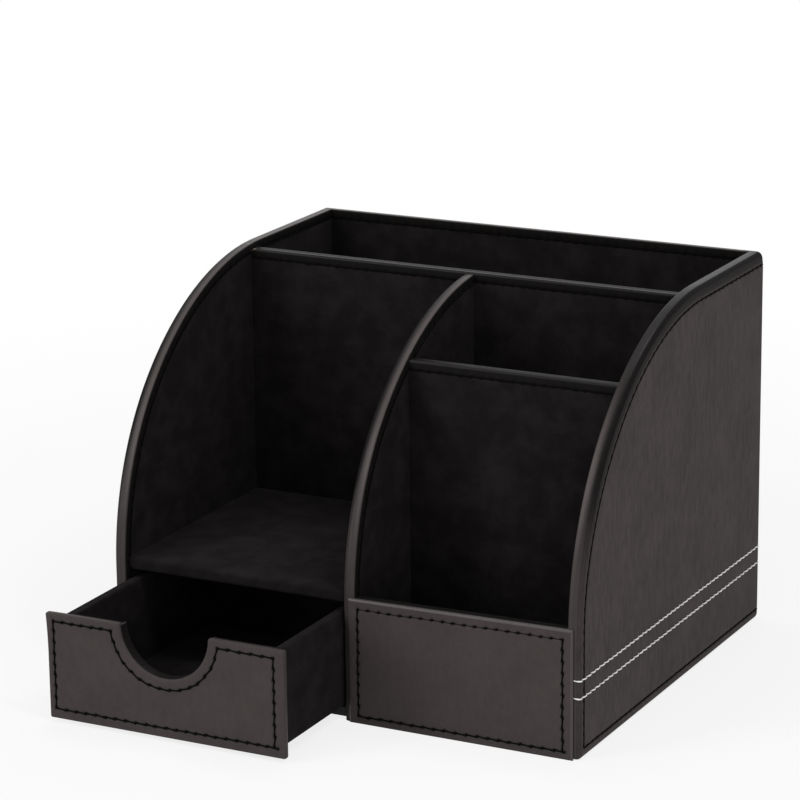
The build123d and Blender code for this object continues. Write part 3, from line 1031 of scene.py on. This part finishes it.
def makeDrawerFront():
    look = {"topInset": 2.7, "lowInset": 3.35, "leftInset": 2.5, "rightInset": 3.8,
            "notchInset": 3.6, "roll": 0.5, "notchRoll": 0.95, "mouth": 0.9, "corner": 0.6,
            "flare": 0.4, "flareHeight": 15.0, "flareWidth": 9.0, "fold": 0.2, "step": 0.47}
    box = blockOf("drawer_front_leather")
    board = blockOf("drawer_front_board")
    walls = blockOf("drawer_wall_suede")
    strip = blockOf("drawer_notch_edging")
    thick, sheet = box.y1 - box.y0, board.y0 - box.y0
    notchX = (box.x0 + box.x1) / 2
    stripThick = 0.7
    notchR = (strip.x1 - strip.x0) / 2 - stripThick
    mouth, corner, step = look["mouth"], look["corner"], look["step"]

    def station(point, roll, backReach):
        return {"point": point, "roll": roll, "backReach": backReach}

    leftReach, rightReach = walls.x0 - box.x0 - 0.1, box.x1 - walls.x1 - 0.1
    lowReach, highReach = walls.z0 - box.z0 - 0.1, box.z1 - walls.z1 - 0.1
    plain = look["roll"]
    out = []
    corners = {
        "topLeft": ((box.x0, box.z1), (1, -1), 90, 180, min(leftReach, highReach)),
        "lowLeft": ((box.x0, box.z0), (1, 1), 180, 270, min(leftReach, lowReach)),
        "lowRight": ((box.x1, box.z0), (-1, 1), 270, 360, min(rightReach, lowReach)),
        "topRight": ((box.x1, box.z1), (-1, -1), 0, 90, min(rightReach, highReach)),
    }

    def addCorner(name):
        at, towards, first, last, reach = corners[name]
        for p in cornerArc(at, towards, corner, first, last, 4):
            out.append(station(p, plain, reach))

    def edgeLine(start, end, inward, reach):
        # stations shorten with depth so that they mitre at the corners
        length = math.dist(start, end)
        way = ((end[0] - start[0]) / length, (end[1] - start[1]) / length)

        def at(share):
            def point(d):
                cut = max(corner, d)
                run = cut + (length - 2 * cut) * share
                return (start[0] + way[0] * run + inward[0] * d,
                        start[1] + way[1] * run + inward[1] * d)
            return point
        for share in steps(0, 1, step / length)[1:-1]:
            out.append(station(at(share), plain, reach))

    def mouthX(d):
        return math.sqrt((notchR + max(mouth, d)) ** 2 - max(mouth, d) ** 2)

    def topLine(fromX, side):
        # between the outer corner and the notch's mouth
        def at(share):
            def point(d):
                start = fromX - side * max(corner, d)
                end = notchX + side * mouthX(d)
                return (start + (end - start) * share, box.z1 - d)
            return point
        shares = steps(0, 1, step / (abs(fromX - notchX) - notchR))[1:-1]
        if side < 0:
            shares = shares[::-1]
        return [station(at(share), plain, highReach) for share in shares]

    def mouthArc(side):
        # rounded corner between the top edge and the notch
        def at(share):
            def point(d):
                reach = max(mouth, d)
                x, z = notchX + side * mouthX(d), box.z1 - reach
                toNotch = math.atan2(reach, -side * mouthX(d))
                angle = math.pi / 2 + (toNotch - math.pi / 2) * share
                return (x + (reach - d) * math.cos(angle), z + (reach - d) * math.sin(angle))
            return point
        made = []
        for i in range(7):
            share = i / 6
            roll = plain + (look["notchRoll"] - plain) * share
            made.append(station(at(share), roll, 0.0 if share > 0.5 else highReach))
        return made

    def notchArc():
        def at(share):
            def point(d):
                first = math.atan2(-max(mouth, d), mouthX(d))
                angle = first + (-math.pi - 2 * first) * share
                return (notchX + (notchR + d) * math.cos(angle),
                        box.z1 + (notchR + d) * math.sin(angle))
            return point
        return [station(at(share), look["notchRoll"], 0.0)
                for share in steps(0, 1, step / (math.pi * notchR))[1:-1]]

    # round the outline: left, bottom, right, top right, notch, top left
    addCorner("topLeft")
    edgeLine((box.x0, box.z1), (box.x0, box.z0), (1, 0), leftReach)
    addCorner("lowLeft")
    edgeLine((box.x0, box.z0), (box.x1, box.z0), (0, 1), lowReach)
    addCorner("lowRight")
    edgeLine((box.x1, box.z0), (box.x1, box.z1), (-1, 0), rightReach)
    addCorner("topRight")
    out.extend(topLine(box.x1, 1))
    out.extend(mouthArc(1))
    out.extend(notchArc())
    out.extend(mouthArc(-1)[::-1])
    out.extend(topLine(box.x0, -1))

    def bend(x, depth, z):
        # the upper left corner stands out a little
        ear = max(0.0, 1 - (box.z1 - z) / look["flareHeight"]) ** 2
        ear *= max(0.0, 1 - (x - box.x0) / look["flareWidth"]) ** 2
        return (x - look["flare"] * ear, box.y0 + depth - look["flare"] * 0.7 * ear, z)

    def place(s, d, depth):
        x, z = s["point"](d)
        return bend(x, depth, z)

    quarter = [math.pi / 2 * i / 5 for i in range(6)]
    flat = [1.2, 1.6, 1.95, 2.25, 2.5, 2.75, 3.0, 3.25, 3.5, 3.75, 4.0, 4.3, 4.8, 5.4]

    def section(s):
        roll, reach = s["roll"], s["backReach"]
        turned = look["fold"] if reach else 0.0
        deep = thick if reach else roll + 0.05
        turn = max(reach, 0.3)
        rows = [(sheet, deep), (turn - 0.02, deep), (turn, deep + turned * 0.8),
                (max(turn - 0.3, 0.25), deep + turned), (0.12, deep + turned * 0.5),
                (0.0, deep - turned)]
        rows += [(roll - roll * math.sin(a), roll - roll * math.cos(a)) for a in reversed(quarter)]
        rows += [(d, 0.0) for d in flat]
        return rows
    rows = [[place(s, d, depth) for d, depth in section(s)] for s in out]
    form = Form()
    form.grid(rows + rows[:1])
    form.face([row[-1] for row in rows])
    under = [place(s, sheet, sheet) for s in out]
    form.grid([[row[0] for row in rows] + rows[0][:1], under + under[:1]])
    form.face(under)

    def seamOf(places, seed):
        course = [(Vector(bend(x, 0.03, z)), Vector((0, -1, 0))) for x, z in places]
        return seamAlong(course, faceStitch, facePress, 0.12, seed)

    def between(start, end):
        return [(start[0] + (end[0] - start[0]) * share, start[1] + (end[1] - start[1]) * share)
                for share in steps(0, 1, 0.05)]
    left, right = box.x0 + look["leftInset"], box.x1 - look["rightInset"]
    high, low = box.z1 - look["topInset"], box.z0 + look["lowInset"]
    ring = notchR + look["notchInset"]
    mouthAngle = math.asin(look["topInset"] / ring)
    mouthReach = ring * math.cos(mouthAngle)
    notchLine = [(notchX + ring * math.cos(a), box.z1 + ring * math.sin(a))
                 for a in steps(-math.pi + mouthAngle, -mouthAngle, 0.03)]
    seams = [seamOf(between((left, high), (notchX - mouthReach, high)), 70),
             seamOf(notchLine, 74),
             seamOf(between((notchX + mouthReach, high), (right, high)), 75),
             seamOf(between((left, low), (left, high + 0.4)), 71),
             seamOf(between((right, low), (right, high)), 72),
             seamOf(between((left, low), (right + 1.2, low)), 73)]
    makePiece(form, "drawer_front_cover", "drawer", "leather", ["drawer_front_leather"], seams)

    # strip through the notch, its far edge rolled over the box's front wall
    deepest = strip.y1 - box.y0
    depths = [(look["notchRoll"] - 0.1, 0.0), (thick, 0.02), (deepest - 0.8, 0.0),
              (deepest - 0.25, 0.12), (deepest, 0.5), (deepest, stripThick),
              (look["notchRoll"] - 0.1, stripThick)]
    below = math.asin((box.z1 - walls.z1) / (notchR + stripThick / 2))
    form = Form()
    sweep = []
    for angle in steps(-below, -math.pi + below, step / notchR):
        sweep.append([(notchX + (notchR + out) * math.cos(angle), box.y0 + depth,
                       box.z1 + (notchR + out) * math.sin(angle)) for depth, out in depths])
    form.grid(sweep, closeRow=True, caps=True)
    makePiece(form, "notch_folded_edging", "drawer", "edging", ["drawer_notch_edging"])
    return seams


drawerSeams = makeDrawerFront()
makeThreads("drawer_black_stitching", "drawer", "blackThread", drawerSeams, seed=4)
print("drawer made")


def makeLining(node, body, finish):
    # the glued lining with its edges softened
    look = {"soft": 0.2, "flatAngle": 1, "edgeAngle": 60}
    work = bmesh.new()
    work.from_mesh(frame["nodes"][node].data)
    bmesh.ops.remove_doubles(work, verts=work.verts, dist=0.001 * mm)
    bmesh.ops.dissolve_limit(work, angle_limit=math.radians(look["flatAngle"]), verts=work.verts,
                             edges=work.edges)
    rims = [edge for edge in work.edges if edge.is_manifold
            and edge.calc_face_angle(0) > math.radians(look["edgeAngle"])]
    bmesh.ops.bevel(work, geom=rims, offset=look["soft"] * mm, offset_type="OFFSET", segments=2,
                    profile=0.5, affect="EDGES", clamp_overlap=True)
    smoothFaces(work, creaseAngle)
    mesh = bpy.data.meshes.new(node + "_lining")
    work.to_mesh(mesh)
    work.free()
    dress(bpy.data.objects.new(node + "_lining", mesh), body, finish, [node])


def makeTuckedBoard(node):
    # a hidden board that stays inside the rounded rear corner
    mesh = frame["nodes"][node].data.copy()
    for vertex in mesh.vertices:
        if vertex.co.y > (back - 2 * skin) * mm and vertex.co.z > (top - sideThick) * mm:
            vertex.co.y -= outline["rearRound"][0] * mm
    mesh.materials.clear()
    dress(bpy.data.objects.new(node + "_tucked", mesh), "cabinet", "board", [node])


softNodes = (("suede", "suede"), ("_floor", "suede"), ("felt", "felt"))
tuckedNodes = ("left_side_board", "right_side_board", "back_board")
paperNodes = ("base_board", "drawer_bottom_board", "drawer_front_wall", "drawer_back_wall",
              "drawer_left_wall", "drawer_right_wall", "drawer_front_board")
drawerNodes = frame["record"]["behaviour"]["bodies"]["drawer"]
for node, piece in list(frame["nodes"].items()):
    if piece.hide_render:
        continue
    finish = next((each for word, each in softNodes if word in node), None)
    if finish:
        makeLining(node, "drawer" if node in drawerNodes else "cabinet", finish)
    elif node in tuckedNodes:
        makeTuckedBoard(node)
    else:
        piece.data.materials.clear()
        piece.data.materials.append(finishes["paper" if node in paperNodes else "board"][0])
print("linings made")


def makeFloor():
    # lit by itself to white for the camera, less so near the object, where its shadow stays
    look = {"size": 8.0, "colour": (0.92, 0.92, 0.92), "glow": 0.80, "near": 0.16, "far": 0.55}
    paint = Paint(bpy.data.materials.new("pale floor"))
    place = paint.place()
    speck = paint.noise(place, 40.0, 3.0)
    card = paint.node("BsdfDiffuse", {}, {"Color": paint.mix(speck, shade(look["colour"], 0.99),
                                                             shade(look["colour"], 1.01))})
    glow = paint.node("Emission", {}, {"Color": white, "Strength": 1.0})
    away = paint.node("VectorMath", {"operation": "LENGTH"}, {0: place}, out=1)
    rest = paint.between(away, look["near"], look["far"]) * (1 - look["glow"])
    both = paint.node("MixShader", {}, {0: paint.seenDirectly() * (rest + look["glow"]),
                                        1: card, 2: glow})
    paint.node("OutputMaterial", {}, {"Surface": both})
    mesh = bpy.data.meshes.new("floor")
    r = look["size"] / 2
    mesh.from_pydata([(-r, -r, 0), (r, -r, 0), (r, r, 0), (-r, r, 0)], [], [(0, 1, 2, 3)])
    mesh.materials.append(paint.owner)
    floor = bpy.data.objects.new("floor", mesh)
    bpy.context.scene.collection.objects.link(floor)


def makeWorld():
    look = {"light": 0.42}
    world = bpy.data.worlds.new("studio")
    bpy.context.scene.world = world
    paint = Paint(world)
    lit = paint.node("Background", {}, {"Color": white, "Strength": look["light"]})
    seen = paint.node("Background", {}, {"Color": white, "Strength": 1.0})
    both = paint.node("MixShader", {}, {0: paint.seenDirectly(), 1: lit, 2: seen})
    paint.node("OutputWorld", {}, {"Surface": both})


def makeLamp(name, look):
    lamp = bpy.data.lights.new(name, "AREA")
    lamp.shape = "RECTANGLE"
    lamp.size, lamp.size_y = look["size"]
    lamp.energy = look["power"]
    stand = bpy.data.objects.new(name, lamp)
    bpy.context.scene.collection.objects.link(stand)
    stand.location = look["place"]
    aim = Vector(look["aim"]) - Vector(look["place"])
    stand.rotation_euler = aim.to_track_quat("-Z", "Y").to_euler()


lamps = {
    "left softbox": {"place": (-0.74, -0.98, 0.66), "aim": (0, 0, 0.05), "size": (0.4, 1.2),
                     "power": 6.6},
    "right softbox": {"place": (0.60, -0.50, 0.14), "aim": (0.05, 0, 0.05), "size": (0.34, 0.34),
                      "power": 0.75},
    "key strip": {"place": (0.60, -0.32, 1.12), "aim": (0, 0, 0.08), "size": (0.12, 0.40),
                  "power": 3.4},
    "top softbox": {"place": (-0.1, 0.35, 1.35), "aim": (0, 0, 0.05), "size": (0.55, 0.45),
                    "power": 2.6},
}


def makeCamera():
    look = {"place": (501.808, -1001.213, 403.81), "yaw": 27.371, "pitch": 15.71,
            "roll": -0.669, "focalPixels": 3448.53, "imagePixels": 800, "sensor": 36.0}
    yaw, pitch, roll = (math.radians(look[key]) for key in ("yaw", "pitch", "roll"))
    forward = Vector((-math.sin(yaw) * math.cos(pitch), math.cos(yaw) * math.cos(pitch),
                      -math.sin(pitch)))
    level = Vector((math.cos(yaw), math.sin(yaw), 0))
    upright = level.cross(forward)
    right = level * math.cos(roll) + upright * math.sin(roll)
    up = upright * math.cos(roll) - level * math.sin(roll)
    camera = bpy.data.cameras.new("camera")
    camera.sensor_width = look["sensor"]
    camera.lens = look["sensor"] * look["focalPixels"] / look["imagePixels"]
    camera.clip_start, camera.clip_end = 0.05, 30
    rig = bpy.data.objects.new("camera", camera)
    bpy.context.scene.collection.objects.link(rig)
    turn = Matrix((right, up, -forward)).transposed()
    rig.matrix_world = Matrix.Translation(Vector(look["place"]) * mm) @ turn.to_4x4()
    bpy.context.scene.camera = rig


makeFloor()
makeWorld()
for name, look in lamps.items():
    makeLamp(name, look)
makeCamera()
bpy.context.scene.view_settings.view_transform = "Standard"
print("floor, light and camera made")
